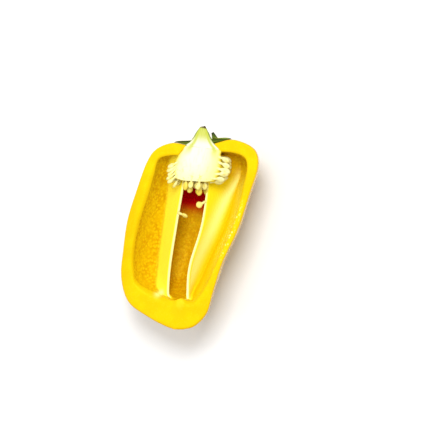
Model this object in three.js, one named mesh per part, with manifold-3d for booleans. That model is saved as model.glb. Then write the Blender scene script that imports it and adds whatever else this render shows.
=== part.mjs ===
// Half of a long yellow bell pepper, cut from stem to tip and lying on its back, in millimetres.
// +Z points up out of the cut face, +Y towards the stem and +X to the right of the stem.
// The origin is on the small flat of the back that the half rests on, under its weight.

import * as THREE from "three";
import { mergeVertices } from "three/addons/utils/BufferGeometryUtils.js";
import Module from "manifold-3d";

const wasm = await Module();
wasm.setup();

// Driving dimensions. Places are measured from the stem's axis at mid length, in the cut face.
const CUT_HEIGHT = 35; // cut face above the surface, just under the full depth of the back
const REST_PLACE = [-3.5, 6]; // x and y of the point of the back that carries the weight
const GAP = 0.3; // clearance between pieces that touch

// Rings from the stem to the blossom end: x and y of the left end and of the right end in the cut
// face, and how far the back of the ring lies below that face.
const SKIN_RINGS = [
  [0.5, 53, 0.5, 53, 0],
  [-8, 53.2, 9.5, 57, 8.5],
  [-18, 53.6, 20, 60.3, 18],
  [-27.5, 48.6, 33, 56.3, 28],
  [-32.4, 39.6, 37, 46.5, 33],
  [-36.3, 22, 34.3, 30, 35.6],
  [-39.3, 4, 30, 7, 36],
  [-39.4, -14, 23.6, -13, 34],
  [-38.2, -31, 20.3, -31, 29.5],
  [-31.5, -45, 18.2, -44.5, 21.5],
  [-18, -52.2, 12.3, -53, 13],
  [-7, -56, 6, -56.2, 6],
  [-0.5, -57.3, -0.5, -57.3, 0],
];
const HOLLOW_RINGS = [
  [0, 49, 0, 49, 0],
  [-10, 47, 11, 51.8, 9],
  [-19, 45.8, 21.5, 53.3, 17.5],
  [-25.2, 42.6, 28.4, 50.8, 24.5],
  [-26.8, 34, 30.5, 43, 28],
  [-29, 20, 29, 30, 29.5],
  [-31.8, 4, 26.4, 9.5, 29.8],
  [-32.8, -12, 20.4, -10, 28.3],
  [-30.6, -25, 15.4, -26, 24.5],
  [-25.5, -33, 11.2, -35, 18],
  [-13.5, -38.4, 5.8, -40.2, 9.5],
  [-3, -41.2, -3, -41.2, 0],
];

// Ribs inside the hollow, from the stem to the blossom end: the angle of the root round the back in
// degrees, the x of the free edge, and the depth of that edge below the cut face.
const LEFT_RIB = [
  [153, -10, 9.5], [147, -10.2, 9.4], [140, -10.3, 9.1], [133, -10.3, 8.5],
  [129, -10.4, 7.5], [125, -9.2, 6.3], [121, -7.2, 4.6],
];
const RIGHT_RIB = [
  [48, 6.4, 9.5], [50, 6.2, 9.5], [53, 5.6, 9.3], [57, 4.1, 8.7],
  [60, 0.9, 7.8], [60, 3.2, 6.2], [50, 4.6, 4.4],
];
const RIB_START = 0.14; // first and last fraction of the hollow's length that a rib spans
const RIB_END = 0.95;
const RIB_ROOT_SINK = 0.07; // share of the ring's size that the root sinks into the wall
const RIB_EDGE_HALF = 0.7; // half thickness at the free edge
const RIB_ROOT_FLARE = 0.16; // half thickness added at the root, as a share of the rib's height

// Furrows between the lobes run down the back over the ribs.
const FURROW_MIDDLE = 0.07; // depth as a share of the ring's size
const FURROW_ENDS = 0.17;
const FURROW_SPREAD = 13; // degrees
const FURROW_INSIDE = 0.6; // share of the depth that shows on the wall of the hollow

// Seed core: radius and y of its outline, and the place of its axis.
const CORE_AXIS_X = 0.7;
const CORE_OUTLINE = [
  [0, 32], [6, 31.6], [11, 32.6], [13.6, 36], [14.3, 40], [14, 44.5], [12.8, 49], [10.4, 52.2], [0, 52.2],
];
const CORE_MIDDLE_Y = 42;
const SEAT_SIZE = 1.03; // size of a seat in the flesh against the piece that sits in it

// Seeds: flat discs on short stalks, in rows round the core.
const SEED_LENGTH = 4.4;
const SEED_WIDTH = 3.4;
const SEED_THICKNESS = 1.8;
const SEED_STALK_RADIUS = 0.6;
const SEED_STAND = 3.2; // middle of a seed out from the core
const SEED_ROOT = 0.7; // depth that a stalk is sunk
const SEED_PITCH = 3.7; // spacing along a row
const SEED_TILT = 3.5; // rows climb towards the right by this much either side
const SEED_ROWS = [ // radius and y on the core, and droop of the seeds below level
  [14, 44.2, 0.15], [14.1, 41.8, 0.3], [14, 39.4, 0.45], [13.6, 37, 0.65], [12.7, 34.8, 1], [10.5, 32.8, 2],
  [7, 32, 4], [3.5, 32, 8],
];
const SEED_SHIFT = 0.3; // range of uneven spacing, as a share of the pitch
const SEED_UNEVEN_DROOP = 0.3;
const SEED_SPIN = 2.2; // range of turns about the stalk, in radians
const SEED_FIRST_ANGLE = 8; // degrees that the rows stay clear of the cut face
const SEED_DRAW = 7; // start of the numbers that make the rows uneven

// Stem: radius and y of its outline, with low ridges along it.
const STEM_OUTLINE = [
  [0, 52.6], [10.2, 52.6], [8.8, 54.6], [6.6, 57.4], [4.4, 61.6], [2.7, 64.3], [1.6, 66], [0, 66.3],
];
const STEM_FOOT_Y = 52.6;
const STEM_RIDGES = 5;
const STEM_RIDGE_HEIGHT = 0.05; // share of the radius

// Calyx: a star on the shoulders. Reaches are fractions of the skin's length from the stem.
const CALYX_COLLAR = 0.1;
const CALYX_THICKNESS = 1.5;
const CALYX_THINNING = 0.5; // share of the thickness lost at the rim
const SEPAL_HALF_ANGLE = 21; // degrees
const SEPAL_LEAN = 0.6; // how far a rising sepal leans in to the stem, as a share of its rise
const SEPALS = [ // angle round the stem in degrees, reach past the collar, rise of the tip
  [2, 0.058, 0], [28, 0.02, 5], [68, 0.045, 0.6], [112, 0.05, 0.4], [152, 0.04, 1], [179, 0.045, 0],
];

// Steps of the faceted surfaces, round and lengthwise, and across, along and up a rib.
const SKIN_STEPS = [64, 40];
const HOLLOW_STEPS = [56, 36];
const RIB_STEPS = [2, 26, 6];
const CORE_STEPS = 36;
const STEM_STEPS = 40;
const CALYX_STEPS = [72, 5];
const SEED_STEPS = [6, 4];
const SEED_STALK_SIDES = 4;
const BLOCK_SIDE = 200; // side of the block that keeps what lies between the surface and the cut face

// A closed geometry as a solid that can be joined and cut.
function solidOf(geometry) {
  geometry.deleteAttribute("normal");
  geometry.deleteAttribute("uv");
  const merged = mergeVertices(geometry, 1e-4);
  return new wasm.Manifold(new wasm.Mesh({
    numProp: 3,
    vertProperties: new Float32Array(merged.getAttribute("position").array),
    triVerts: new Uint32Array(merged.index.array),
  }));
}

// The largest body of a solid, without the scraps that a cut can leave.
function mainBody(solid) {
  return solid.decompose().reduce((largest, body) => (body.volume() > largest.volume() ? body : largest));
}

// Moves every vertex of a geometry to where the place function sends it.
function displaced(geometry, place) {
  const position = geometry.getAttribute("position");
  const point = new THREE.Vector3();
  for (let i = 0; i < position.count; i++) {
    const moved = place(point.fromBufferAttribute(position, i));
    position.setXYZ(i, moved.x, moved.y, moved.z);
  }
  return geometry;
}

// Smooth values between rows of numbers, at a fraction from the first row to the last.
function along(rows) {
  const fractions = rows.map((row, i) => i / (rows.length - 1));
  const curve = new THREE.CubicInterpolant(fractions, rows.flat(), rows[0].length);
  return (fraction) => [...curve.evaluate(THREE.MathUtils.clamp(fraction, 0, 1))];
}

const skinRing = along(SKIN_RINGS);
const hollowRing = along(HOLLOW_RINGS);
const leftRib = along(LEFT_RIB);
const rightRib = along(RIGHT_RIB);
const ribs = [leftRib, rightRib];

const CAUGHT_SEED_RISE = 0.15; // how much they point up, against how much they point across
// Seeds caught on the ribs: the rib, the fraction along it, the direction in x and y, and the spin.
const CAUGHT_SEEDS = [
  [rightRib, 0.41, -0.8, -0.6, 1.4],
  [leftRib, 0.45, 0.9, -0.35, 0.2],
];

// How far the furrows draw a ring in, as a share of its size.
function furrowDraw(t, angle) {
  const depth = FURROW_MIDDLE + (FURROW_ENDS - FURROW_MIDDLE) * (2 * t - 1) ** 2;
  const dips = ribs.map((rib) => {
    const away = Math.abs(angle) - THREE.MathUtils.degToRad(rib(t)[0]);
    return Math.exp(-0.5 * (away / THREE.MathUtils.degToRad(FURROW_SPREAD)) ** 2);
  });
  return depth * Math.max(...dips);
}

// The point of a ring at an angle: 0 is the right end in the cut face, a quarter turn the back.
function ringPoint([leftX, leftY, rightX, rightY, depth], angle, size) {
  const side = size * Math.cos(angle) / 2;
  return new THREE.Vector3(
    (leftX + rightX) / 2 + (rightX - leftX) * side,
    (leftY + rightY) / 2 + (rightY - leftY) * side,
    CUT_HEIGHT - depth * size * Math.sin(angle),
  );
}

const skinPoint = (t, angle) => ringPoint(skinRing(t), angle, 1 - furrowDraw(t, angle));
const hollowPoint = (t, angle, size = 1) =>
  ringPoint(hollowRing(t), angle, size - FURROW_INSIDE * furrowDraw(t, angle));

// A sphere drawn out to a surface whose point at fraction t and an angle is given.
function ringedSolid(surfacePoint, [around, lengthwise]) {
  const sphere = new THREE.SphereGeometry(1, around, lengthwise);
  return solidOf(displaced(sphere, (unit) => {
    const t = Math.acos(THREE.MathUtils.clamp(unit.y, -1, 1)) / Math.PI;
    return surfacePoint(t, Math.atan2(-unit.z, unit.x));
  }));
}

// The free edge of a rib at fraction s along it.
function ribEdge(rib, s) {
  const [leftX, leftY, rightX, rightY] = hollowRing(RIB_START + (RIB_END - RIB_START) * s);
  const [, x, depth] = rib(s);
  const y = leftY + (rightY - leftY) * (x - leftX) / (rightX - leftX);
  return new THREE.Vector3(x, y, CUT_HEIGHT - depth);
}

// A blade from its root in the wall to its free edge, flaring into the wall.
function ribSolid(rib) {
  const blade = new THREE.BoxGeometry(1, 1, 1, ...RIB_STEPS);
  return solidOf(displaced(blade, (unit) => {
    const s = 0.5 - unit.y;
    const height = unit.z + 0.5;
    const t = RIB_START + (RIB_END - RIB_START) * s;
    const root = hollowPoint(t, THREE.MathUtils.degToRad(rib(s)[0]), 1 + RIB_ROOT_SINK);
    const edge = ribEdge(rib, s);
    const sideways = new THREE.Vector3(edge.z - root.z, 0, root.x - edge.x).normalize();
    const half = RIB_EDGE_HALF + RIB_ROOT_FLARE * root.distanceTo(edge) * (1 - height) ** 3;
    return root.lerp(edge, height).addScaledVector(sideways, 2 * unit.x * half);
  }));
}

// A round outline turned about the stem's axis, in the cut face. The ridges swell its radius.
function turnedSolid(outline, steps, ridges = 0, ridgeHeight = 0) {
  const points = outline.map(([radius, y]) => new THREE.Vector2(radius, y));
  const turned = displaced(new THREE.LatheGeometry(points, steps), (point) => {
    const swell = 1 + ridgeHeight * Math.cos(ridges * Math.atan2(-point.z, point.x));
    return point.set(point.x * swell, point.y, point.z * swell);
  });
  return solidOf(turned.translate(CORE_AXIS_X, 0, CUT_HEIGHT));
}

// A seed that stands out from a point along a direction, on a stalk sunk below the point.
function seedSolid(foot, outwards, spin) {
  const turn = new THREE.Quaternion().setFromUnitVectors(new THREE.Vector3(1, 0, 0), outwards);
  turn.multiply(new THREE.Quaternion().setFromAxisAngle(new THREE.Vector3(1, 0, 0), spin));
  const disc = new THREE.SphereGeometry(1, ...SEED_STEPS);
  disc.scale(SEED_LENGTH / 2, SEED_THICKNESS / 2, SEED_WIDTH / 2);
  disc.translate(SEED_STAND, 0, 0);
  const stalkLength = SEED_STAND + SEED_ROOT;
  const stalk = new THREE.CylinderGeometry(SEED_STALK_RADIUS, SEED_STALK_RADIUS, stalkLength, SEED_STALK_SIDES);
  stalk.rotateZ(Math.PI / 2).translate(stalkLength / 2 - SEED_ROOT, 0, 0);
  const [discSolid, stalkSolid] = [disc, stalk].map((shape) =>
    solidOf(shape.applyQuaternion(turn).translate(foot.x, foot.y, foot.z)));
  return discSolid.add(stalkSolid);
}

// Evenly spread numbers from 0 to 1, the same on every run.
function seededNumbers(start) {
  const factor = 1664525;
  const addend = 1013904223;
  const range = 2 ** 32;
  let state = start;
  return () => {
    state = (state * factor + addend) % range;
    return state / range;
  };
}

// Seeds in rows round the core, left out where they would meet the flesh.
function seedRows(flesh) {
  const next = seededNumbers(SEED_DRAW);
  const seeds = [];
  SEED_ROWS.forEach(([radius, y, droop], row) => {
    const pitch = SEED_PITCH / radius;
    const first = THREE.MathUtils.degToRad(SEED_FIRST_ANGLE) + (row % 2) * pitch / 2;
    for (let angle = first; angle < Math.PI - first / 2; angle += pitch) {
      const turned = angle + (next() - 0.5) * SEED_SHIFT * pitch;
      const round = new THREE.Vector3(Math.cos(turned), 0, -Math.sin(turned));
      const foot = round.clone().multiplyScalar(radius);
      foot.add(new THREE.Vector3(CORE_AXIS_X, y + SEED_TILT * Math.cos(turned), CUT_HEIGHT));
      const outwards = round.clone().setY(-droop - SEED_UNEVEN_DROOP * next()).normalize();
      const seed = seedSolid(foot, outwards, (next() - 0.5) * SEED_SPIN);
      if (seed.minGap(flesh, GAP) >= GAP) seeds.push(seed);
    }
  });
  return seeds;
}

// The star of sepals, laid on the shoulders of the skin.
function calyxSolid() {
  const [around, outward] = CALYX_STEPS;
  const under = [...Array(outward + 1).keys()].map((step) => new THREE.Vector2(step / outward, 0));
  const upper = under.map(({ x }) => new THREE.Vector2(x, 1)).reverse();
  return solidOf(displaced(new THREE.LatheGeometry([...under, ...upper], around), (point) => {
    const share = Math.hypot(point.x, point.z);
    const angle = Math.atan2(-point.z, point.x);
    let reach = CALYX_COLLAR;
    let rise = 0;
    for (const [middle, length, tipRise] of SEPALS) {
      const away = Math.abs(Math.abs(angle) - THREE.MathUtils.degToRad(middle));
      const inside = Math.max(0, 1 - away / THREE.MathUtils.degToRad(SEPAL_HALF_ANGLE));
      reach = Math.max(reach, CALYX_COLLAR + length * inside);
      rise = Math.max(rise, tipRise * inside * share ** 3);
    }
    const placed = skinPoint(share * reach, angle);
    placed.x -= SEPAL_LEAN * rise * Math.cos(angle);
    placed.y += GAP + rise + point.y * CALYX_THICKNESS * (1 - CALYX_THINNING * share);
    placed.z += SEPAL_LEAN * rise * Math.sin(angle);
    return placed;
  }));
}

// The seat that a turned piece needs in the flesh, a little larger than the piece about its middle.
function seatOf(solid, middleY) {
  const middle = new THREE.Vector3(CORE_AXIS_X, middleY, CUT_HEIGHT);
  return solid.translate(middle.clone().negate().toArray()).scale(SEAT_SIZE).translate(middle.toArray());
}

// A loose seed caught on the free edge of a rib at fraction s along it.
function caughtSeed([rib, s, directionX, directionY, spin]) {
  const outwards = new THREE.Vector3(directionX, directionY, CAUGHT_SEED_RISE).normalize();
  return seedSolid(ribEdge(rib, s), outwards, spin);
}

function meshOf(name, solid, color, roughness) {
  const { vertProperties, triVerts } = solid.getMesh();
  const geometry = new THREE.BufferGeometry();
  geometry.setAttribute("position", new THREE.BufferAttribute(vertProperties, 3));
  geometry.setIndex(new THREE.BufferAttribute(triVerts, 1));
  geometry.computeVertexNormals();
  const mesh = new THREE.Mesh(geometry, new THREE.MeshStandardMaterial({ color, roughness, metalness: 0 }));
  mesh.name = name;
  return mesh;
}

// Everything is made whole, then trimmed between the surface and the cut face.
const block = new THREE.BoxGeometry(BLOCK_SIDE, BLOCK_SIDE, CUT_HEIGHT);
const kept = solidOf(block.translate(0, 0, CUT_HEIGHT / 2));

const coreBulb = turnedSolid(CORE_OUTLINE, CORE_STEPS);
const stemCone = turnedSolid(STEM_OUTLINE, STEM_STEPS, STEM_RIDGES, STEM_RIDGE_HEIGHT);
const seats = seatOf(coreBulb, CORE_MIDDLE_Y).add(seatOf(stemCone, STEM_FOOT_Y));

const wall = ringedSolid(skinPoint, SKIN_STEPS).subtract(ringedSolid(hollowPoint, HOLLOW_STEPS));
const ribbedWall = ribs.reduce((joined, rib) => joined.add(ribSolid(rib)), wall).subtract(seats);
const flesh = CAUGHT_SEEDS.map(caughtSeed).reduce((joined, seed) => joined.add(seed), ribbedWall);
const seedCore = seedRows(flesh).reduce((joined, seed) => joined.add(seed), coreBulb);
const stem = stemCone.add(calyxSolid());

const group = new THREE.Group();
group.position.set(-REST_PLACE[0], -REST_PLACE[1], 0);
group.add(
  meshOf("flesh", mainBody(flesh.intersect(kept)), 0xf7c90a, 0.3),
  meshOf("seed_core", mainBody(seedCore.intersect(kept)), 0xfaf3c8, 0.6),
  meshOf("stem", mainBody(stem.intersect(kept)), 0xb9bf3c, 0.6),
);

export default group;
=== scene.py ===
"""The looks of half a yellow bell pepper, lying on its back with the cut face up.

Shapes are worked out in millimetres from the stem's axis at mid length, and spot() turns such a point
into metres of the frame. +Z is up, +Y runs towards the stem and +X to the right of it.
"""
import functools
import math
import random

import bmesh
import bpy
from mathutils import Matrix, Vector, noise


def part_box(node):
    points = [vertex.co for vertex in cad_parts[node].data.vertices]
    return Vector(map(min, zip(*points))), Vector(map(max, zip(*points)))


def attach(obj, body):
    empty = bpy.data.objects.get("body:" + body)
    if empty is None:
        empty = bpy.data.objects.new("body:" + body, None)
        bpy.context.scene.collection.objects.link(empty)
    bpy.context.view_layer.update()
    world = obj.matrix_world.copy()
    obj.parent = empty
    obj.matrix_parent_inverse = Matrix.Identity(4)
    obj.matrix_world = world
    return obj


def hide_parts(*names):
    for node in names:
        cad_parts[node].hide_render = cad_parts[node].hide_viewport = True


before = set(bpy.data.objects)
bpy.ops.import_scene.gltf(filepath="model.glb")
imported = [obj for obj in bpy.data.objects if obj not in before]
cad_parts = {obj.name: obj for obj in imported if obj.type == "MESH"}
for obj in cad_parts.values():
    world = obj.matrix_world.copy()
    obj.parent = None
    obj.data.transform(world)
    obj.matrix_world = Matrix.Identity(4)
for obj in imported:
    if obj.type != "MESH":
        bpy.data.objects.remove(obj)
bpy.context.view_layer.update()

MM = 0.001
WELD = 0.002 * MM
CUT_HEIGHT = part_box("flesh")[1].z / MM
REST_X = -3.5
REST_Y = 6.0

# Rings from the stem to the blossom end: x and y of the left end and of the right end in the cut
# face, and how far the back of the ring lies below that face.
SKIN_RINGS = (
    (0.5, 53, 0.5, 53, 0),
    (-8, 53.2, 9.5, 57, 8.5),
    (-18, 53.6, 20, 60.3, 18),
    (-27.5, 48.6, 33, 56.3, 28),
    (-32.4, 39.6, 37, 46.5, 33),
    (-36.3, 22, 34.3, 30, 35.6),
    (-39.3, 4, 30, 7, 36),
    (-39.4, -14, 23.6, -13, 34),
    (-38.2, -31, 20.3, -31, 29.5),
    (-31.5, -45, 18.2, -44.5, 21.5),
    (-18, -52.2, 12.3, -53, 13),
    (-7, -56, 6, -56.2, 6),
    (-0.5, -57.3, -0.5, -57.3, 0),
)
HOLLOW_RINGS = (
    (0, 49, 0, 49, 0),
    (-10, 47, 11, 51.8, 9),
    (-19, 45.8, 21.5, 52.4, 17.5),
    (-25.2, 42.6, 28.4, 50, 24.5),
    (-26.8, 34, 30.5, 43, 28),
    (-29, 20, 29, 30, 29.5),
    (-31.8, 4, 26.4, 9.5, 29.8),
    (-32.8, -12, 20.4, -10, 28.3),
    (-31.2, -25.6, 15.4, -26, 24.5),
    (-27.2, -33.2, 11.4, -35, 17.5),
    (-11.4, -38.9, 7.6, -39.2, 8),
    (-1.6, -41, -1.6, -41, 0),
)
CORE_RINGS = (
    (1.4, 53, 1.4, 53, 0),
    (-9.1, 53, 12, 53, 10.2),
    (-11.2, 50.2, 13, 50.2, 12.4),
    (-13.2, 46.8, 13.6, 46.8, 13.6),
    (-14.1, 43.2, 13.7, 43.2, 14.2),
    (-14.4, 39.2, 13.3, 40.4, 14.2),
    (-14, 35.6, 12.3, 37.2, 13.2),
    (-12.2, 32.7, 9.6, 34, 11),
    (-7, 32.1, 5, 33, 7),
    (0.6, 34, 0.6, 34, 0),
)
STEM_RINGS = (
    (1.4, 53, 1.4, 53, 0),
    (-9.1, 53, 12, 53, 10.2),
    (-7.3, 55.4, 9.4, 55.4, 8.2),
    (-5.9, 57.4, 7.2, 57.4, 6.4),
    (-4.9, 59.6, 5.6, 59.6, 5.2),
    (-4, 61.8, 4.2, 61.8, 4.1),
    (-2.9, 63.8, 3, 63.6, 3),
    (-1.9, 65.4, 1.9, 65, 1.9),
    (0.3, 65.9, 0.3, 65.9, 0),
)

# Ribs, from the stem to the blossom end: the angle of the root round the back in degrees, the x of
# the free edge, and the depth of that edge below the cut face.
LEFT_RIB = (
    (153, -10, 4), (147, -10, 4), (139, -9.5, 7.5), (130, -10.6, 8.8), (123, -10.7, 7.6),
    (119, -9.4, 6.4), (124, -7.8, 4.8),
)
RIGHT_RIB = (
    (48, 6.2, 4), (50, 6, 4), (53, 5.2, 7.5), (57, 4.9, 8.8), (60, 1.3, 7.8),
    (58, 3, 6.3), (46, 4.5, 4.5),
)
RIB_START = 0.14
RIB_END = 0.95
# Where along the hollow the ribs begin to rise, stand at full height, begin to sink and are gone.
RIB_RISE = (0.14, 0.2, 0.89, 0.935)
RIB_EDGE_RADIUS = 0.95
RIB_ROOT_HALF = 4.5
RIB_TIP_SHARE = 0.12
RIB_ROOT_FILL = 1.6
# Where the lemon flanks fade, from the free edge at 0 to the root at 1, outer side and inner side.
OUTER_FADE = (0.4, 0.95)
INNER_FADE = (0.12, 0.45)
# The streak's middle and half width, as shares of the way from edge to root, from the stem downwards.
PITH_ROWS = ((0.78, 0.17), (0.5, 0.18), (0.34, 0.19), (0.25, 0.23), (0.16, 0.24), (0.07, 0.2))
LEFT_PITH = 0.1
RIGHT_LEMON = 0.75
# The top corner of the right chamber, where the flank of the rib falls into shade.
SHADED_CORNER = (34, 43)
PITH_FROM_Y = 38
PITH_TO_Y = -32
PITH_FADE_IN = (-0.12, 0.1)
PITH_FADE_OUT = (0.9, 1.2)

# Along the hollow: where painted light brightens the right wall and where painted light pales the left
# chamber at its end.
SUNNY_FROM = (0.3, 0.46)
PAINTED_LIGHT_END = (0.82, 0.92)
# In y: where the middle chamber turns red with painted shade, and where the lip of the right wall grows and
# fades.
RED_SHADE_FROM = (10, 20)
LIP_GROWS = (-28, -8)
LIP_FADES = (18, 32)

FURROW_MIDDLE = 0.07
FURROW_ENDS = 0.17
FURROW_SPREAD = 13
FURROW_INSIDE = 0.6

# Where the skin and the hollow stop at the neck, as fractions of their rings, right side and left side.
SKIN_NECK = (0.07, 0.0935)
HOLLOW_NECK = (0.11, 0.124)
# How deep the edges of the cut face round over, and how many times wider than deep.
EDGE_ROUND = 0.6
INNER_ROUND = 0.9
SOFT_ROUND = 1.6
LIP_ROUND = 2.4
END_ROUND = 1.2
SOFT_FROM = (0.2, 0.4)
END_FROM = (0.72, 0.84)
ROUND_SPREAD = 1.6
ROUND_SHARE = 0.3
WALL_LEAN = 0.75
FLESH_ROUND_STEPS = 200
FLESH_LONG_STEPS = 200
CUT_STEPS = 14
# The left rim of the cut face is a little darker, between these metres of x.
SHADED_RIM = (-0.026, -0.036)
HOLLOW_BANDS = (0.0, 0.2, 0.37, 0.62, 0.79, 1.0)

BODY_ROUND = 0.3
CORE_ROUND = 1.3
CUT_BODY_STEPS = 24
CORE_STEPS = (72, 80)
CORE_LUMPS = 0.12
# Below the cut the core swells into the yellow pith that carries the seeds.
CORE_SWELL = 0.15
STEM_STEPS = (64, 70)
# Five low ridges down the stem, and the ragged tip where it was broken off.
STEM_RIDGES = 5
RIDGE_RISE = 0.05
STEM_RAGGED = 0.45

# Painted glints on the pebbles down the right wall, and one painted highlight at the foot of the left rib.
GLINT_Y = 5
GLINT_LENGTH = 15
GLINT_STRENGTH = 0.8
HIGHLIGHT_X = -14.2
HIGHLIGHT_Y = -37
HIGHLIGHT_WIDTH = 1.8
HIGHLIGHT_LENGTH = 2.0

# The bulge of flesh between the lower ends of the ribs.
BULGE_X = 1.4
BULGE_Y = -43.8
BULGE_WIDTH = 3.8
BULGE_LENGTH = 5.4
BULGE_FORWARD = 3.3
BULGE_RISE = 0.95

PEBBLE_SIZE = 1.7
PEBBLE_RISE = 0.3
PEBBLE_SWELL = 0.25
# Height and width of the bumps on the skin and on the spongy core.
SKIN_SWELL = (0.4, 16)
SKIN_RIPPLE = (0.07, 4)
SPONGE_COARSE = (0.5, 3)
SPONGE_FINE = (0.2, 1.3)
SPONGE_CUT = (0.07, 1.8)

SEED_LENGTH = 6.0
SEED_WIDTH = 4.0
SEED_THICKNESS = 2.6
SEED_STAND = 4.4
STALK_RADIUS = 1.0
SEED_OVER_CUT = 0.6
SEED_ROW_GAP = 2.9
SEED_BEAK = 0.5
SEED_DIMPLE = 0.3
SEED_STEPS = (16, 10)
STALK_SIDES = 8
STALK_TAPER = 0.6
# How far seeds stray from their rule: place along the core, heading in degrees, size and tint.
SEED_DRAW = 7
SEED_SHIFT = 0.4
SEED_SWAY = 9
SEED_SIZES = (0.88, 1.1)
SEED_TINT = 0.1
# Clusters of seeds on the core: first and last foot, how far the feet bow out between them, seeds in
# a row, headings of the first and the last seed and range of turns about the stalk in degrees (0 lies
# flat under the cut), rows one below the other, depth of the top row, length and how yellow.
SEED_CLUSTERS = (
    ((12, 49.2), (9, 33.6), 1.9, 5, (-12, 10), (10, 50), 5, 0.5, 1.15, 0.15),
    ((-12.8, 42.8), (-12, 33.2), 0.8, 5, (-142, -128), (45, 75), 5, 0.8, 1.0, 0.35),
    ((-2.6, 34.8), (5.2, 34.8), 0, 2, (-94, -86), (0, 30), 3, 0.5, 0.95, 0.5),
    ((-6.4, 33.8), (-6.4, 33.8), 0, 1, (-94, -90), (20, 60), 2, 2, 0.95, 0.9),
    ((-3, 31.5), (5.4, 31.5), 0, 2, (-104, -88), (0, 30), 2, 4.0, 0.95, 0.9),
)
CORE_AXIS_X = 0.7
CORE_DEPTH = 14.4
# Seeds caught on the ribs: the rib, y of the foot, direction, turn about the stalk, distance of the
# seed from its foot, and its length and width against the others.
CAUGHT_SEEDS = (
    (RIGHT_RIB, 21, (-0.82, -0.57, 0.15), 0.1, 3.6, 0.78, 1.1),
    (LEFT_RIB, 12.4, (0.95, -0.25, 0.15), 1.0, 4.0, 0.85, 0.85),
)
CAUGHT_YELLOW = 0.7
SEARCH_STEPS = 400

CALYX_SIDE = 0.02
CALYX_INNER = 0.06
CALYX_COLLAR = 0.1
CALYX_THICKNESS = 3.6
CALYX_TIP = 0.7
CALYX_LIFT = 0.15
SEPAL_HALF_ANGLE = math.radians(21)
SEPAL_LEAN = 1.1
CALYX_STEPS = (160, 36)
# Angle of each sepal round the stem, its reach past the collar, and how far its tip curls up.
SEPALS = (
    (2, 0.058, 0), (37, 0.02, 5), (68, 0.045, 0.6), (112, 0.05, 0.4), (152, 0.04, 1), (179, 0.06, 0),
)

VIEW_SIDE = math.radians(16)
VIEW_ROLL = math.radians(8)
VIEW_DISTANCE = 1.6
FRAME_WIDTH = 0.2682
AIM_RIGHT = 0.0213
AIM_UP = 0.0069
SENSOR = 36

# Name, place, size and power of each soft light.
LIGHTS = (
    ("key", (0.1, 0.36, 0.86), 0.4, 6.4),
    ("fill", (-0.5, -0.1, 0.8), 0.6, 2.2),
)
WORLD_STRENGTH = 0.72
FLOOR_SIZE = 4

BODY = "root"


def rgb(red, green, blue):
    return (red, green, blue, 1)


GLINT = rgb(1, 0.85, 0.05)
SKIN_YELLOW = rgb(0.76, 0.47, 0.002)
SKIN_DEEP = rgb(0.68, 0.36, 0.001)
CUT_YELLOW = rgb(0.75, 0.51, 0.001)
CUT_DEEP = rgb(0.72, 0.46, 0.001)
CUT_PALE = rgb(0.78, 0.6, 0.02)
WALL_LIGHT = rgb(0.79, 0.53, 0.004)
WALL_YELLOW = rgb(0.74, 0.48, 0.002)
WALL_DARK = rgb(0.6, 0.31, 0.001)
# Painted light: a brighter copy of the wall yellow.
WALL_SUNNY = rgb(0.79, 0.56, 0.002)
# Painted shade: an orange tint for the middle chamber.
WALL_SHADE_ORANGE = rgb(0.62, 0.27, 0.0)
# Painted shade: red in the middle chamber under the core.
WALL_RED_SHADE = rgb(0.66, 0.002, 0.004)
RIB_LEMON = rgb(0.92, 0.76, 0.012)
RIB_PALE = rgb(0.96, 0.98, 0.33)
RIB_EDGE = rgb(0.97, 0.94, 0.42)
CORE_WHITE = rgb(0.77, 0.755, 0.58)
CORE_CREAM = rgb(0.75, 0.73, 0.33)
CORE_YELLOW = rgb(0.76, 0.68, 0.13)
PITH_YELLOW = rgb(0.72, 0.56, 0.03)
SEED_CREAM = rgb(0.83, 0.83, 0.43)
SEED_YELLOW = rgb(0.74, 0.58, 0.05)
STEM_YELLOW = rgb(0.52, 0.54, 0.09)
STEM_GREEN = rgb(0.36, 0.42, 0.02)
STRAND_GREEN = rgb(0.47, 0.51, 0.03)
STEM_DARK = rgb(0.14, 0.2, 0.01)
STEM_BROWN = rgb(0.05, 0.03, 0.012)
CALYX_GREEN = rgb(0.12, 0.18, 0.008)
CALYX_DARK = rgb(0.015, 0.03, 0.004)
FLOOR_SHADE = rgb(0.8, 0.8, 0.8)
FLOOR_LIGHT = rgb(0.82, 0.82, 0.82)


def spot(point):
    """A point in millimetres from the stem's axis, as metres in the frame."""
    return Vector((point.x - REST_X, point.y - REST_Y, point.z)) * MM


def mix(a, b, share):
    return a + (b - a) * share


def ease(low, high, value):
    """A smooth step from 0 at low to 1 at high."""
    share = min(max((value - low) / (high - low), 0.0), 1.0)
    return share * share * (3 - 2 * share)


@functools.lru_cache(maxsize=None)
def along(rows, fraction):
    """Smooth values between rows of numbers, at a fraction from the first row to the last."""
    last = len(rows) - 1
    place = min(max(fraction, 0.0), 1.0) * last
    i = min(int(place), last - 1)
    w = place - i
    values = []
    for column, (a, b) in enumerate(zip(rows[i], rows[i + 1])):
        before = rows[i - 1][column] if i > 0 else 2 * a - b
        after = rows[i + 2][column] if i + 2 <= last else 2 * b - a
        lead = (b - before) / 2
        trail = (after - a) / 2
        bend = 3 * (b - a) - 2 * lead - trail
        twist = 2 * (a - b) + lead + trail
        values.append(a + w * (lead + w * (bend + w * twist)))
    return tuple(values)


def furrow_draw(t, angle):
    """How far the furrows between the lobes draw a ring in, as a share of its size."""
    depth = mix(FURROW_MIDDLE, FURROW_ENDS, (2 * t - 1) ** 2)
    away = min(abs(angle - math.radians(along(rib, t)[0])) for rib in (LEFT_RIB, RIGHT_RIB))
    return depth * math.exp(-0.5 * (away / math.radians(FURROW_SPREAD)) ** 2)


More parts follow.
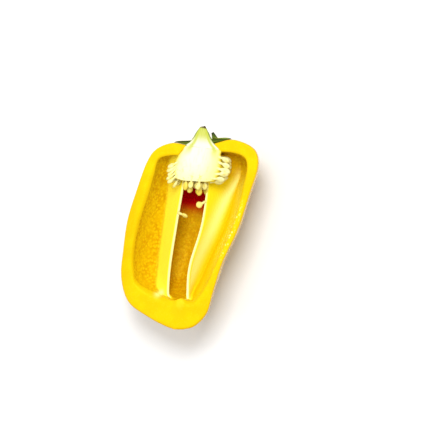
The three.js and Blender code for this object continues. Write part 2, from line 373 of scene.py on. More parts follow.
def ring_point(rings, t, angle, size=1.0):
    """The point of a ring at an angle: 0 is the right end in the cut face, a quarter turn the back."""
    left_x, left_y, right_x, right_y, depth = along(rings, t)
    side = size * math.cos(angle) / 2
    return Vector((
        (left_x + right_x) / 2 + (right_x - left_x) * side,
        (left_y + right_y) / 2 + (right_y - left_y) * side,
        CUT_HEIGHT - depth * size * math.sin(angle),
    ))


def rim_angle(rings, t, round_edge):
    """The angle at which a ring starts so that its rim leaves room for the rounded edge of the cut."""
    return math.asin(min(ROUND_SHARE, round_edge / max(along(rings, t)[4], 0.01)))


def skin_point(t, angle):
    return ring_point(SKIN_RINGS, t, angle, 1 - furrow_draw(t, angle))


def hollow_point(t, angle):
    return ring_point(HOLLOW_RINGS, t, angle, 1 - FURROW_INSIDE * furrow_draw(t, angle))


def rib_edge(rib, t):
    """The free edge of a rib beside ring t of the hollow."""
    left_x, left_y, right_x, right_y, _ = along(HOLLOW_RINGS, t)
    _, x, depth = along(rib, (t - RIB_START) / (RIB_END - RIB_START))
    y = mix(left_y, right_y, (x - left_x) / (right_x - left_x)) if right_x - left_x > 1 else left_y
    return Vector((x, y, CUT_HEIGHT - depth))


def rib_angles(rib, t):
    """The angles where the wall ends on the right and on the left of a rib."""
    middle = math.radians(along(rib, (t - RIB_START) / (RIB_END - RIB_START))[0])
    half = RIB_ROOT_HALF / max(along(HOLLOW_RINGS, t)[4], RIB_ROOT_HALF * 2)
    return middle - half, middle + half


def rib_fold(rib, t, share):
    """A point of the folded wall that makes a rib, from its right root over its edge to its left root.

    With it come its marks: how much rib it is, how pale its edge and its pith are, and the painted light
    and shade of the wall beside it.
    """
    right, left = rib_angles(rib, t)
    root = hollow_point(t, (right + left) / 2)
    rise_from, rise_to, sink_from, sink_to = RIB_RISE
    height = ease(rise_from, rise_to, t) * (1 - ease(sink_from, sink_to, t))
    up = rib_edge(rib, t) - root
    edge = root + up * height
    up.normalize()
    radius = RIB_EDGE_RADIUS * height
    aside = Vector((up.z, 0, -up.x)).normalized() * radius
    side = 1 if share < 0.5 else -1
    inner = side == (1 if rib is LEFT_RIB else -1)
    down = abs(2 * share - 1)
    if down < RIB_TIP_SHARE:
        turn = math.pi / 2 * down / RIB_TIP_SHARE
        point = edge + aside * side * math.sin(turn) - up * radius * (1 - math.cos(turn))
        pale = 1.0 if inner and rib is RIGHT_RIB else 1 - ease(0.2, 0.9, down / RIB_TIP_SHARE)
        return point, {"rib": height, "edge": height * pale}
    foot = hollow_point(t, right if side > 0 else left)
    bend = root + aside * side * RIB_ROOT_FILL
    shoulder = edge + aside * side - up * radius
    s = (down - RIB_TIP_SHARE) / (1 - RIB_TIP_SHARE)
    point = shoulder * (1 - s) ** 2 + bend * 2 * s * (1 - s) + foot * s * s
    flank = height * (1 - ease(*OUTER_FADE, s))
    if inner:
        pale = 1 - ease(0, 0.03, s) if rib is RIGHT_RIB else 0.0
        # The inner flank's lemon is partly the rib's own colour and partly painted light over the middle
        # chamber's shade; its middle tint is painted shade.
        lemon = height * (1 - ease(*INNER_FADE, s))
        return point, {"rib": lemon, "edge": height * pale, "middle": ease(0.15, 0.5, s)}
    if rib is LEFT_RIB:
        return point, {"rib": flank, "pith": LEFT_PITH * flank, "sunny": painted_light_end(t)}
    return point, {
        "rib": RIGHT_LEMON * flank * (1 - ease(*SHADED_CORNER, point.y)),
        "pith": height * pith(point.y, s),
        "sunny": sunny_wall(t),
        "crease_shade": sunny_wall(t) * ease(0.65, 0.95, s),
    }


def sunny_wall(t):
    """The wall of the right chamber is painted the brighter the further from the stem: painted light."""
    return ease(*SUNNY_FROM, t)


def painted_light_end(t):
    """Painted light: the left chamber is painted paler where its wall runs out into the cut at the blossom
    end, over the shade in the groove there.
    """
    return ease(*PAINTED_LIGHT_END, t)


def pith(y, s):
    """The pale streak down the outer flank of the right rib, s being the way from its edge to its root."""
    share = (PITH_FROM_Y - y) / (PITH_FROM_Y - PITH_TO_Y)
    middle, half = along(PITH_ROWS, share)
    streak = math.exp(-((s - middle) / half) ** 2)
    return streak * ease(*PITH_FADE_IN, share) * (1 - ease(*PITH_FADE_OUT, share))


def inner_round(side, v):
    """How deep the inner edge of the cut rounds over: most beside the bright wall of the right chamber."""
    if side == 0:
        return mix(INNER_ROUND, LIP_ROUND, sunny_wall(v))
    return mix(INNER_ROUND, SOFT_ROUND, ease(*SOFT_FROM, v)) + END_ROUND * ease(*END_FROM, v)


def glinting(y):
    """How thickly painted glints fleck the pebbles of the right wall beside y."""
    return math.exp(-((y - GLINT_Y) / GLINT_LENGTH) ** 2)


def lip_length(y):
    """Beside the middle of the right chamber the pebbled lining curls over the cut."""
    return ease(*LIP_GROWS, y) * (1 - ease(*LIP_FADES, y))


def painted_highlight(point):
    """The painted highlight at the foot of the left rib."""
    return math.exp(-((point.x - HIGHLIGHT_X) / HIGHLIGHT_WIDTH) ** 2 - ((point.y - HIGHLIGHT_Y) / HIGHLIGHT_LENGTH) ** 2)


def skin_sheet(u, v):
    t = mix(mix(*SKIN_NECK, u), 1, v)
    start = rim_angle(SKIN_RINGS, t, EDGE_ROUND)
    return skin_point(t, mix(start, math.pi - start, u))


def hollow_sheet(u, v):
    """A point of the hollow's wall from the right rim over both ribs to the left rim, and its marks."""
    t = mix(mix(*HOLLOW_NECK, u), 1, v)
    right_start = rim_angle(HOLLOW_RINGS, t, inner_round(0, v))
    left_start = math.pi - rim_angle(HOLLOW_RINGS, t, inner_round(1, v))
    right_rib = rib_angles(RIGHT_RIB, t)
    left_rib = rib_angles(LEFT_RIB, t)
    band = max(i for i in range(len(HOLLOW_BANDS) - 1) if u >= HOLLOW_BANDS[i])
    share = (u - HOLLOW_BANDS[band]) / (HOLLOW_BANDS[band + 1] - HOLLOW_BANDS[band])
    if band == 1:
        return rib_fold(RIGHT_RIB, t, share)
    if band == 3:
        return rib_fold(LEFT_RIB, t, share)
    spans = {0: (right_start, right_rib[0]), 2: (right_rib[1], left_rib[0]), 4: (left_rib[1], left_start)}
    point = hollow_point(t, mix(*spans[band], share))
    if band == 0:
        straight = hollow_point(t, right_start).lerp(hollow_point(t, right_rib[0]), share)
        point = point.lerp(straight, WALL_LEAN * sunny_wall(t))
        # The right wall's marks: painted light, painted glints, and painted shade in the crease by the rib.
        return point, {
            "sunny": sunny_wall(t), "glint": glinting(point.y) * (1 - ease(0.3, 0.9, share)),
            "crease_shade": sunny_wall(t) * ease(0.5, 1, share),
        }
    # The middle chamber: painted shade, an orange tint throughout and red under the core.
    if band == 2:
        return point, {"middle": 1.0, "red_shade": ease(*RED_SHADE_FROM, point.y)}
    return point, {"sunny": painted_light_end(t)}


def swollen(point):
    """How much a point belongs to the bulge between the ends of the ribs."""
    return math.exp(-((point.x - BULGE_X) / BULGE_WIDTH) ** 2 - ((point.y - BULGE_Y) / BULGE_LENGTH) ** 2)


def bulge(point):
    """Swells the flesh between the ends of the ribs, where it bulges into the middle chamber."""
    return point + Vector((0, BULGE_FORWARD, BULGE_RISE)) * swollen(point)


def rounded_cut(first, last, share, first_round, last_round):
    """A point of the cut face between two rims, with its edges rounded over."""
    point = first.lerp(last, share)
    width = (last - first).length / ROUND_SPREAD
    inward = min(share * width / first_round, (1 - share) * width / last_round, 1)
    point.z = mix(point.z, CUT_HEIGHT, 1 - (1 - inward) ** 2)
    return point


def even_ends(share):
    """Closer steps towards both ends."""
    return (1 - math.cos(math.pi * share)) / 2


def start_piece(mark_names):
    bm = bmesh.new()
    for name in mark_names:
        bm.verts.layers.float.new(name)
    return bm


def lay_sheet(bm, steps, place, material):
    """Adds a grid placed by a function of two fractions, which also gives the values to mark it with."""
    verts = bmesh.ops.create_grid(bm, x_segments=steps[0], y_segments=steps[1], size=1)["verts"]
    for vert in verts:
        point, marks = place((vert.co.x + 1) / 2, (vert.co.y + 1) / 2)
        vert.co = spot(point)
        for name, value in marks.items():
            vert[bm.verts.layers.float[name]] = value
    for face in {face for vert in verts for face in vert.link_faces}:
        face.material_index = material
        face.smooth = True


def weld(bm):
    bmesh.ops.remove_doubles(bm, verts=bm.verts, dist=WELD)
    bmesh.ops.dissolve_degenerate(bm, edges=bm.edges, dist=WELD)
    bmesh.ops.recalc_face_normals(bm, faces=bm.faces)
    bm.normal_update()


def raise_surface(bm, height):
    """Moves every vertex along its normal by a height in millimetres."""
    moves = [(vert, vert.normal * height(vert) * MM) for vert in bm.verts]
    for vert, move in moves:
        vert.co += move


def make_piece(bm, name, materials, node):
    mesh = bpy.data.meshes.new(name)
    bm.to_mesh(mesh)
    bm.free()
    for material in materials:
        mesh.materials.append(material)
    piece = bpy.data.objects.new(name, mesh)
    bpy.context.scene.collection.objects.link(piece)
    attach(piece, BODY)
    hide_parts(node)


def wave(point, size):
    """Smooth noise from -1 to 1 whose bumps are about size millimetres wide."""
    return noise.noise(point / (size * MM))


def bumps(point, height, size):
    return height * wave(point, size)


def round_noise(angle, v, across, down):
    """Smooth noise round a body and along it, with so many lumps across it and down it."""
    return noise.noise(Vector((across * math.cos(angle), down * v, across * math.sin(angle))))


def pebbles(point):
    """Low round cells of the hollow's lining, on a slower swell."""
    cells = noise.voronoi(point / (PEBBLE_SIZE * MM))[0]
    return PEBBLE_RISE * (0.5 - cells[0]) + PEBBLE_SWELL * wave(point, 3 * PEBBLE_SIZE)


def make_flesh(materials):
    """The wall of the fruit: glossy skin, flat cut face, pebbled hollow and the two ribs, as one body."""
    bm = start_piece((
        "across", "rib", "edge", "pith", "sunny", "crease_shade", "lip", "glint", "painted_highlight",
        "middle", "red_shade", "swollen", "pebble", "swell",
    ))

    def skin_place(u, v):
        point = skin_sheet(u, v)
        return point, {"swell": ease(0.3, 4, CUT_HEIGHT - point.z) * ease(0, 0.06, v)}

    def hollow_place(u, v):
        point, marks = hollow_sheet(u, v)
        inside = ease(0.5, 3, CUT_HEIGHT - point.z) * ease(0, 0.06, v) * (1 - swollen(point))
        pebble = inside * (1 - marks.get("rib", 0.0))
        return bulge(point), dict(marks, across=1.0, pebble=pebble, painted_highlight=painted_highlight(point))

    def cut_point(u, v, share):
        flat = rounded_cut(skin_sheet(u, v), hollow_sheet(u, v)[0], share, EDGE_ROUND, inner_round(u, v))
        lip = sunny_wall(v) * ease(0.15, 0.5, share) if u == 0 else 0.0
        return bulge(flat), {
            "across": share, "painted_highlight": painted_highlight(flat), "swollen": swollen(flat), "glint": lip * glinting(flat.y),
            "lip": lip * lip_length(flat.y), "pebble": lip * (1 - swollen(flat)),
        }

    def neck_place(u, v):
        share = even_ends(v)
        if u in (0, 1):
            return cut_point(u, 0, share)
        return bulge(skin_sheet(u, 0).lerp(hollow_sheet(u, 0)[0], share)), {"across": share}

    steps = (FLESH_ROUND_STEPS, FLESH_LONG_STEPS)
    lay_sheet(bm, steps, skin_place, 0)
    for side in (0, 1):
        lay_sheet(bm, (CUT_STEPS, FLESH_LONG_STEPS), lambda u, v: cut_point(side, v, even_ends(u)), 1)
    lay_sheet(bm, (FLESH_ROUND_STEPS, CUT_STEPS), neck_place, 1)
    lay_sheet(bm, steps, hollow_place, 2)
    weld(bm)
    pebble, swell = (bm.verts.layers.float[name] for name in ("pebble", "swell"))

    def uneven(vert):
        skin = bumps(vert.co, *SKIN_SWELL) + bumps(vert.co, *SKIN_RIPPLE)
        return vert[pebble] * pebbles(vert.co) + vert[swell] * skin

    raise_surface(bm, uneven)
    for vert in bm.verts:
        vert.co.z = max(vert.co.z, 0)
    make_piece(bm, "pepper_flesh", materials, "flesh")


def halved_body(bm, rings, steps, size, edge_round):
    """A turned body cut in half: its outer side and its cut face, welded along the rim."""
    def outer_point(u, v):
        start = rim_angle(rings, v, edge_round(v))
        angle = mix(start, math.pi - start, u)
        point = ring_point(rings, v, angle, size(angle, v))
        point.z = min(point.z, CUT_HEIGHT)
        return point

    def outer_place(u, v):
        return outer_point(u, v), {"along": v}

    def cut_place(u, v):
        share = even_ends(u)
        point = rounded_cut(outer_point(0, v), outer_point(1, v), share, edge_round(v), edge_round(v))
        return point, {"along": v, "cut": ease(0, 0.06, min(share, 1 - share)), "across": 2 * share - 1}

    lay_sheet(bm, steps, outer_place, 0)
    lay_sheet(bm, (CUT_BODY_STEPS, steps[1]), cut_place, 0)
    weld(bm)


def make_core(material):
    """The spongy bulb under the stem, cut in half."""
    bm = start_piece(("along", "cut", "across"))

    def uneven_edge(angle, v):
        lumps = round_noise(angle, v, 4, 16)
        swell = CORE_SWELL * ease(0.04, 0.22, math.sin(angle)) * ease(0.25, 0.5, v) * (1 - ease(0.8, 1, v))
        return 1 + CORE_LUMPS * lumps * ease(0.2, 0.8, v) + swell

    def edge_round(v):
        return mix(BODY_ROUND, CORE_ROUND, ease(0.12, 0.4, v))

    halved_body(bm, CORE_RINGS, CORE_STEPS, uneven_edge, edge_round)
    cut = bm.verts.layers.float["cut"]

    def sponge(vert):
        rough = bumps(vert.co, *SPONGE_COARSE) + bumps(vert.co, *SPONGE_FINE)
        return mix(rough, bumps(vert.co, *SPONGE_CUT), vert[cut])

    raise_surface(bm, sponge)
    make_piece(bm, "core_bulb", [material], "seed_core")


def add_seed(bm, foot, outward, spin, stand_off, length, width, yellow):
    """A flat drop-shaped seed on a thin stalk, standing out from a foot in millimetres."""
    tip, tint = (bm.verts.layers.float[name] for name in ("tip", "tint"))
    side = outward.cross(Vector((0, 0, 1))).normalized()
    turn = Matrix((outward, side.cross(outward), side)).transposed().to_4x4()
    stand = Matrix.Translation(spot(foot)) @ turn @ Matrix.Rotation(spin, 4, "X")
    sides, rows = SEED_STEPS
    verts = bmesh.ops.create_uvsphere(bm, u_segments=sides, v_segments=rows, radius=1)["verts"]
    for vert in verts:
        x, y, z = vert.co
        beak = 1 - SEED_BEAK * ease(-0.2, 1.0, -x)
        dimple = 1 - SEED_DIMPLE * (1 - ease(0.1, 0.75, math.hypot(x - 0.2, y)))
        vert[tip] = (x + 1) / 2
        vert.co = Vector((
            stand_off + x * length * SEED_LENGTH / 2,
            z * beak * dimple * width * SEED_THICKNESS / 2,
            y * beak * width * SEED_WIDTH / 2,
        )) * MM
    along_x = Matrix.Translation((stand_off / 3 * MM, 0, 0)) @ Matrix.Rotation(math.pi / 2, 4, "Y")
    stalk = bmesh.ops.create_cone(
        bm, cap_ends=True, segments=STALK_SIDES, radius1=STALK_RADIUS * MM,
        radius2=STALK_TAPER * STALK_RADIUS * MM, depth=stand_off * MM, matrix=along_x,
    )["verts"]
    for vert in verts + stalk:
        vert[tint] = yellow
    bmesh.ops.transform(bm, matrix=stand, verts=verts + stalk)
    over = max(vert.co.z for vert in verts) - (CUT_HEIGHT + SEED_OVER_CUT) * MM
    if over > 0:
        bmesh.ops.translate(bm, vec=(0, 0, -over), verts=verts + stalk)


def finish_seeds(bm, name, material, node):
    bmesh.ops.recalc_face_normals(bm, faces=bm.faces)
    for face in bm.faces:
        face.smooth = True
    make_piece(bm, name, [material], node)


def make_core_seeds(material):
    """Clusters of seeds round the core, one in each chamber, in rows that go down round its back."""
    draw = random.Random(SEED_DRAW)
    bm = start_piece(("tip", "tint"))
    for first, last, bow, count, headings, turns, rows, top, length, yellow in SEED_CLUSTERS:
        for row in range(rows):
            depth = top + row * SEED_ROW_GAP
            sunk = depth / CORE_DEPTH
            level = math.sqrt(1 - sunk * sunk)
            for i in range(count):
                share = (i + 0.5 * (row % 2)) / (count - 0.5)
                x = mix(first[0], last[0], share) + math.copysign(bow, first[0]) * 4 * share * (1 - share)
                y = mix(first[1], last[1], share) + draw.uniform(-SEED_SHIFT, SEED_SHIFT)
                heading = math.radians(mix(*headings, share) + draw.uniform(-SEED_SWAY, SEED_SWAY))
                foot = Vector((CORE_AXIS_X + (x - CORE_AXIS_X) * level, y, CUT_HEIGHT - depth))
                outward = Vector((math.cos(heading) * level, math.sin(heading), -sunk)).normalized()
                spin = math.radians(draw.uniform(*turns))
                size = draw.uniform(*SEED_SIZES)
                tint = yellow + draw.uniform(-SEED_TINT, SEED_TINT)
                add_seed(bm, foot, outward, spin, SEED_STAND, length * size, size, tint)
    finish_seeds(bm, "core_seeds", material, "seed_core")


def make_caught_seeds(material):
    """Two seeds that hang on the free edges of the ribs."""
    bm = start_piece(("tip", "tint"))
    for rib, y, outward, spin, stand_off, length, width in CAUGHT_SEEDS:
        shares = (i / SEARCH_STEPS for i in range(SEARCH_STEPS + 1))
        foot = rib_edge(rib, min(shares, key=lambda t: abs(rib_edge(rib, t).y - y)))
        add_seed(bm, foot, Vector(outward).normalized(), spin, stand_off, length, width, CAUGHT_YELLOW)
    finish_seeds(bm, "caught_seeds", material, "flesh")


def make_stem(material):
    """The stub of the stem, cut in half, with ridges along its outer side."""
    bm = start_piece(("along", "cut", "across"))

    def ridged(angle, v):
        ragged = STEM_RAGGED * round_noise(angle, v, 6, 14) * ease(0.75, 1, v)
        return 1 + RIDGE_RISE * math.cos(STEM_RIDGES * angle) * math.sin(angle) + ragged

    halved_body(bm, STEM_RINGS, STEM_STEPS, ridged, lambda v: BODY_ROUND)
    cut, along_stem = (bm.verts.layers.float[name] for name in ("cut", "along"))

    def fibres(vert):
        lines = noise.noise(Vector((vert.co.x / 0.9, vert.co.y / 9, vert.co.z / 0.9)) / MM)
        crumbs = 0.7 * wave(vert.co, 1.2) * ease(0.84, 0.95, vert[along_stem])
        return mix(0.18 * lines, 0.05 * lines - 0.02, vert[cut]) + crumbs

    raise_surface(bm, fibres)
    make_piece(bm, "stem_stub", [material], "stem")


def make_calyx(material):
    """The star of sepals on the shoulders: its under side, then its upper side back to the stem."""
    bm = start_piece(("rim",))

    def place(u, v):
        angle = mix(CALYX_SIDE, math.pi - CALYX_SIDE, u)
        share = 1 - abs(2 * v - 1)
        reach = CALYX_COLLAR
        rise = 0.0
        for middle, length, tip_rise in SEPALS:
            inside = max(0.0, 1 - abs(angle - math.radians(middle)) / SEPAL_HALF_ANGLE)
            reach = max(reach, CALYX_COLLAR + length * inside)
            rise = max(rise, tip_rise * ease(0, 0.7, inside) * share ** 2)
        point = skin_point(mix(CALYX_INNER, reach, share), angle)
        thickness = mix(CALYX_THICKNESS, CALYX_TIP, share) * math.sqrt(max(0.0, 1 - share ** 6))
        point += SEPAL_LEAN * rise * Vector((-math.cos(angle), 0, math.sin(angle)))
        point.y += CALYX_LIFT + rise + (thickness if v > 0.5 else 0.0)
        return point, {"rim": share}

    lay_sheet(bm, CALYX_STEPS, place, 0)
    weld(bm)
    bmesh.ops.holes_fill(bm, edges=[edge for edge in bm.edges if edge.is_boundary], sides=0)
    bmesh.ops.recalc_face_normals(bm, faces=bm.faces)
    make_piece(bm, "calyx", [material], "stem")


class Paint:
    """A procedural material under construction."""

    def __init__(self, name, **values):
        self.material = bpy.data.materials.new(name)
        self.material.use_nodes = True
        self.tree = self.material.node_tree
        self.shader = self.tree.nodes["Principled BSDF"]
        self.place = self.tree.nodes.new("ShaderNodeTexCoord").outputs["Object"]
        self.set(self.shader, {name.replace("_", " "): value for name, value in values.items()})

    def set(self, node, inputs):
        for socket, value in inputs.items():
            if isinstance(value, bpy.types.NodeSocket):
                self.tree.links.new(value, node.inputs[socket])
            else:
                node.inputs[socket].default_value = value

    def node(self, kind, inputs, output=0, **settings):
        node = self.tree.nodes.new(kind)
        for name, value in settings.items():
            setattr(node, name, value)
        self.set(node, inputs)
        return node.outputs[output]

    def mark(self, name):
        """A value laid down on the mesh."""
        return self.node("ShaderNodeAttribute", {}, "Fac", attribute_name=name)

    def span(self, value, low, high):
        """0 below low, 1 above high, smooth between."""
        return self.node("ShaderNodeMapRange", {0: value, 1: low, 2: high}, interpolation_type="SMOOTHSTEP")

    def times(self, a, b):
        return self.node("ShaderNodeMath", {0: a, 1: b}, operation="MULTIPLY")

    def away(self, value):
        return self.node("ShaderNodeMath", {0: value}, operation="ABSOLUTE")

    def blend(self, factor, a, b):
        return self.node("ShaderNodeMix", {0: factor, 6: a, 7: b}, 2, data_type="RGBA")

    def stretched(self, x, y, z):
        return self.node("ShaderNodeMapping", {"Vector": self.place, "Scale": (x, y, z)})

    def clouds(self, size, detail=3.0, place=None):
        """Noise with spots about size millimetres wide."""
        inputs = {"Vector": place or self.place, "Scale": 1 / (size * MM), "Detail": detail}
        return self.node("ShaderNodeTexNoise", inputs)

    def cells(self, size):
        inputs = {"Vector": self.place, "Scale": 1 / (size * MM)}
        return self.node("ShaderNodeTexVoronoi", inputs, "Distance")

    def axis(self, name):
        return self.node("ShaderNodeSeparateXYZ", {0: self.place}, name)

    def finish(self, color, bump=None, depth=0.2):
        self.set(self.shader, {"Base Color": color})
        if bump:
            normal = self.node("ShaderNodeBump", {"Height": bump, "Distance": depth * MM, "Strength": 1.0})
            self.set(self.shader, {"Normal": normal})
        return self.material


def skin_paint():
    paint = Paint("pepper_skin", Roughness=0.22, Coat_Weight=0.3, Coat_Roughness=0.08)
    cloudy = paint.span(paint.clouds(14), 0.35, 0.7)
    color = paint.blend(cloudy, SKIN_DEEP, SKIN_YELLOW)
    flecks = paint.span(paint.clouds(0.9, 1.0), 0.62, 0.72)
    color = paint.blend(paint.times(flecks, 0.25), color, CUT_YELLOW)
    return paint.finish(color, paint.clouds(1.5), 0.05)


def painted_glints(paint):
    """Painted glints on the pebbles, and the painted highlight at the foot of the left rib."""
    flecks = paint.times(paint.span(paint.cells(PEBBLE_SIZE), 0.46, 0.16), paint.mark("glint"))
    glints = paint.times(flecks, GLINT_STRENGTH)
    return paint.node("ShaderNodeMath", {0: glints, 1: paint.mark("painted_highlight")}, operation="MAXIMUM")


def cut_paint():
    paint = Paint("cut_flesh", Roughness=0.38, Specular_IOR_Level=0.3, Specular_Tint=GLINT)
    across = paint.mark("across")
    color = paint.blend(paint.span(paint.clouds(9), 0.35, 0.65), CUT_DEEP, CUT_YELLOW)
    color = paint.blend(paint.times(paint.span(paint.clouds(0.8), 0.5, 0.7), 0.3), color, CUT_PALE)
    # Painted shade: the cut face is darker towards its inner and outer rims, where it rounds over.
    color = paint.blend(paint.times(paint.span(across, 0.75, 1.0), 0.6), color, WALL_YELLOW)
    color = paint.blend(paint.times(paint.span(across, 0.25, 0.0), 0.5), color, WALL_YELLOW)
    color = paint.blend(paint.times(paint.span(paint.axis("X"), *SHADED_RIM), 0.4), color, WALL_DARK)
    # Painted shade in a ring round the bulge, and a painted highlight on its top.
    swollen_flesh = paint.mark("swollen")
    crease_shade = paint.times(paint.span(swollen_flesh, 0.1, 0.3), paint.span(swollen_flesh, 0.6, 0.4))
    color = paint.blend(paint.times(crease_shade, 0.9), color, WALL_YELLOW)
    color = paint.blend(paint.times(paint.span(swollen_flesh, 0.5, 0.9), 0.4), color, CUT_PALE)
    color = paint.blend(paint.span(across, 0.07, 0.0), color, SKIN_DEEP)
    lining = paint.blend(paint.span(paint.cells(PEBBLE_SIZE), 0.1, 0.75), WALL_SUNNY, WALL_LIGHT)
    color = paint.blend(paint.times(paint.mark("lip"), 0.85), color, lining)
    # Painted glints and the painted highlight, in pale colour.
    color = paint.blend(painted_glints(paint), color, RIB_PALE)
    return paint.finish(color, paint.clouds(0.7), 0.06)


def lining_paint():
    """The hollow: orange pebbles on the walls, lemon ribs with a pale streak and near white free edges,
    with painted light, painted shade and painted glints.
    """
    paint = Paint("hollow_lining", Roughness=0.36, Specular_Tint=GLINT)
    pebbled = paint.span(paint.cells(PEBBLE_SIZE), 0.1, 0.75)
    color = paint.blend(pebbled, WALL_LIGHT, WALL_DARK)
    color = paint.blend(paint.times(paint.span(paint.clouds(6), 0.35, 0.65), 0.6), color, WALL_YELLOW)
    # Painted light: the right wall and the end of the left chamber are painted brighter.
    color = paint.blend(paint.times(paint.mark("sunny"), 0.8), color, WALL_SUNNY)
    # Painted shade in the crease where the right wall meets the right rib.
    color = paint.blend(paint.times(paint.mark("crease_shade"), 0.28), color, WALL_DARK)
    # Painted shade: the middle chamber and the inner flanks of the ribs are tinted orange.
    color = paint.blend(paint.times(paint.mark("middle"), 0.36), color, WALL_SHADE_ORANGE)
    # Painted shade: the middle chamber turns red where it lies under the core.
    red_shade = paint.mark("red_shade")
    color = paint.blend(red_shade, color, WALL_RED_SHADE)
    # Lemon flanks: the rib's own colour, partly painted light on the inner flanks.
    color = paint.blend(paint.span(paint.mark("rib"), 0.05, 0.7), color, RIB_LEMON)
    color = paint.blend(paint.mark("pith"), color, RIB_PALE)
    color = paint.blend(paint.mark("edge"), color, RIB_EDGE)
    # Painted glints and the painted highlight, in pale colour.
    color = paint.blend(painted_glints(paint), color, RIB_PALE)
    paint.set(paint.shader, {"Specular IOR Level": paint.times(paint.span(red_shade, 1.0, 0.0), 0.35)})
    return paint.finish(color, paint.cells(1.1), 0.12)


def strands(paint):
    """The two green strands that run down the cut of the stem into the core."""
    aside = paint.away(paint.mark("across"))
    return paint.times(paint.times(paint.span(aside, 0.45, 0.62), paint.span(aside, 0.88, 0.7)), 0.85)


def core_paint():
    """White in the middle, creamier towards the rim and the seeds, with yellow pores."""
    paint = Paint("core_cream", Roughness=0.55, Specular_IOR_Level=0.3)
    fibres = paint.clouds(1.2, 2.0, paint.stretched(1, 0.25, 1))
    color = paint.blend(paint.span(paint.mark("along"), 0.35, 0.95), CORE_WHITE, CORE_CREAM)
    color = paint.blend(paint.span(paint.away(paint.mark("across")), 0.4, 1.0), color, CORE_CREAM)
    color = paint.blend(paint.times(paint.span(fibres, 0.45, 0.75), 0.4), color, CORE_CREAM)
    pores = paint.times(paint.span(paint.clouds(2.2), 0.56, 0.7), paint.span(paint.mark("along"), 0.3, 0.8))
    color = paint.blend(pores, color, CORE_YELLOW)
    color = paint.blend(paint.times(paint.span(paint.mark("across"), 0.0, -0.8), 0.5), color, CORE_YELLOW)
    rim = paint.span(paint.away(paint.mark("across")), 0.78, 1.0)
    color = paint.blend(paint.times(rim, paint.span(paint.mark("along"), 0.15, 0.4)), color, CORE_YELLOW)
    near_stem = paint.span(paint.mark("along"), 0.36, 0.1)
    color = paint.blend(paint.times(strands(paint), near_stem), color, STRAND_GREEN)
    color = paint.blend(paint.mark("cut"), PITH_YELLOW, color)
    return paint.finish(color, paint.clouds(0.9), 0.15)


def seed_paint():
    paint = Paint("seed", Roughness=0.42, Specular_IOR_Level=0.35)
    color = paint.blend(paint.mark("tint"), SEED_CREAM, SEED_YELLOW)
    color = paint.blend(paint.times(paint.span(paint.clouds(2.2), 0.4, 0.65), 0.5), color, SEED_YELLOW)
    color = paint.blend(paint.times(paint.span(paint.mark("tip"), 0.4, 0.0), 0.5), color, CORE_CREAM)
    return paint.finish(color, paint.clouds(0.5), 0.05)


def stem_paint():
    """Cream where the cut goes on from the core, a green strand down each flank and a dry brown tip."""
    paint = Paint("stem_green", Roughness=0.5, Specular_IOR_Level=0.3)
    lines = paint.span(paint.clouds(0.7, 2.0, paint.stretched(1, 0.12, 1)), 0.35, 0.7)
    along_stem = paint.mark("along")
    aside = paint.away(paint.mark("across"))
    outside = paint.blend(lines, CALYX_GREEN, STEM_DARK)
    inside = paint.blend(paint.span(along_stem, 0.2, 0.6), CORE_WHITE, STEM_YELLOW)
    inside = paint.blend(strands(paint), inside, STRAND_GREEN)
    dark_rim = paint.times(paint.span(aside, 0.72, 1.0), paint.span(along_stem, 0.3, 0.55))
    inside = paint.blend(dark_rim, inside, STEM_DARK)
    green_lines = paint.times(lines, paint.times(paint.span(along_stem, 0.3, 0.8), 0.5))
    inside = paint.blend(green_lines, inside, STEM_GREEN)
    color = paint.blend(paint.mark("cut"), outside, inside)
    color = paint.blend(paint.span(along_stem, 0.78, 0.9), color, STEM_BROWN)
    return paint.finish(color, lines, 0.15)


def calyx_paint():
    paint = Paint("calyx_green", Roughness=0.45, Specular_IOR_Level=0.3)
    rim = paint.mark("rim")
    color = paint.blend(paint.span(paint.clouds(3), 0.35, 0.65), CALYX_GREEN, STEM_DARK)
    color = paint.blend(paint.span(rim, 0.6, 0.2), color, STEM_GREEN)
    color = paint.blend(paint.span(rim, 0.75, 1.0), color, CALYX_DARK)
    return paint.finish(color, paint.clouds(0.8), 0.15)


def floor_paint():
    paint = Paint("floor_paint", Roughness=0.9, Specular_IOR_Level=0.0)
    return paint.finish(paint.blend(paint.clouds(60), FLOOR_SHADE, FLOOR_LIGHT))


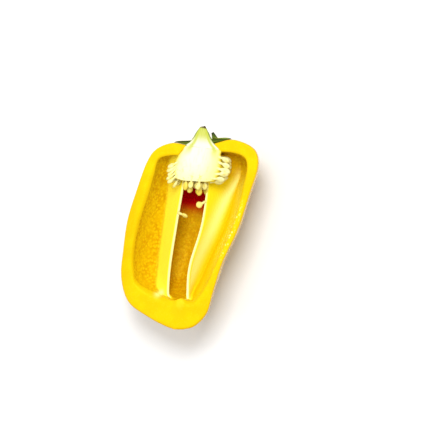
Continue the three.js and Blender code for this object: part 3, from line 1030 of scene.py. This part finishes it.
def make_stage():
    bm = bmesh.new()
    bmesh.ops.create_grid(bm, x_segments=1, y_segments=1, size=FLOOR_SIZE)
    mesh = bpy.data.meshes.new("floor")
    bm.to_mesh(mesh)
    bm.free()
    mesh.materials.append(floor_paint())
    floor = bpy.data.objects.new("floor", mesh)
    bpy.context.scene.collection.objects.link(floor)


def make_camera():
    """The camera looks down on the cut face, a little from the right, with the stem leaning clockwise."""
    back = Vector((math.sin(VIEW_SIDE), 0, math.cos(VIEW_SIDE)))
    up = Vector((0, 1, 0))
    right = up.cross(back)
    turned_right = right * math.cos(VIEW_ROLL) + up * math.sin(VIEW_ROLL)
    turned_up = up * math.cos(VIEW_ROLL) - right * math.sin(VIEW_ROLL)
    middle = spot(Vector((0, 0, CUT_HEIGHT)))
    place = middle + turned_right * AIM_RIGHT + turned_up * AIM_UP + back * VIEW_DISTANCE
    lens = bpy.data.cameras.new("camera")
    lens.sensor_width = SENSOR
    lens.lens = SENSOR * VIEW_DISTANCE / FRAME_WIDTH
    camera = bpy.data.objects.new("camera", lens)
    turn = Matrix((turned_right, turned_up, back)).transposed().to_4x4()
    camera.matrix_world = Matrix.Translation(place) @ turn
    bpy.context.scene.collection.objects.link(camera)
    bpy.context.scene.camera = camera


def make_light(name, place, size, power):
    lamp = bpy.data.lights.new(name, "AREA")
    lamp.size = size
    lamp.energy = power
    light = bpy.data.objects.new(name, lamp)
    light.location = place
    light.rotation_euler = (-Vector(place)).to_track_quat("-Z", "Y").to_euler()
    bpy.context.scene.collection.objects.link(light)


def make_lights():
    for name, place, size, power in LIGHTS:
        make_light(name, place, size, power)
    world = bpy.data.worlds.new("studio")
    world.use_nodes = True
    background = world.node_tree.nodes["Background"]
    background.inputs["Color"].default_value = rgb(1, 1, 1)
    background.inputs["Strength"].default_value = WORLD_STRENGTH
    bpy.context.scene.world = world
    bpy.context.scene.view_settings.view_transform = "Standard"


make_flesh([skin_paint(), cut_paint(), lining_paint()])
make_core(core_paint())
seed = seed_paint()
make_core_seeds(seed)
make_caught_seeds(seed)
make_stem(stem_paint())
make_calyx(calyx_paint())
make_stage()
make_camera()
make_lights()
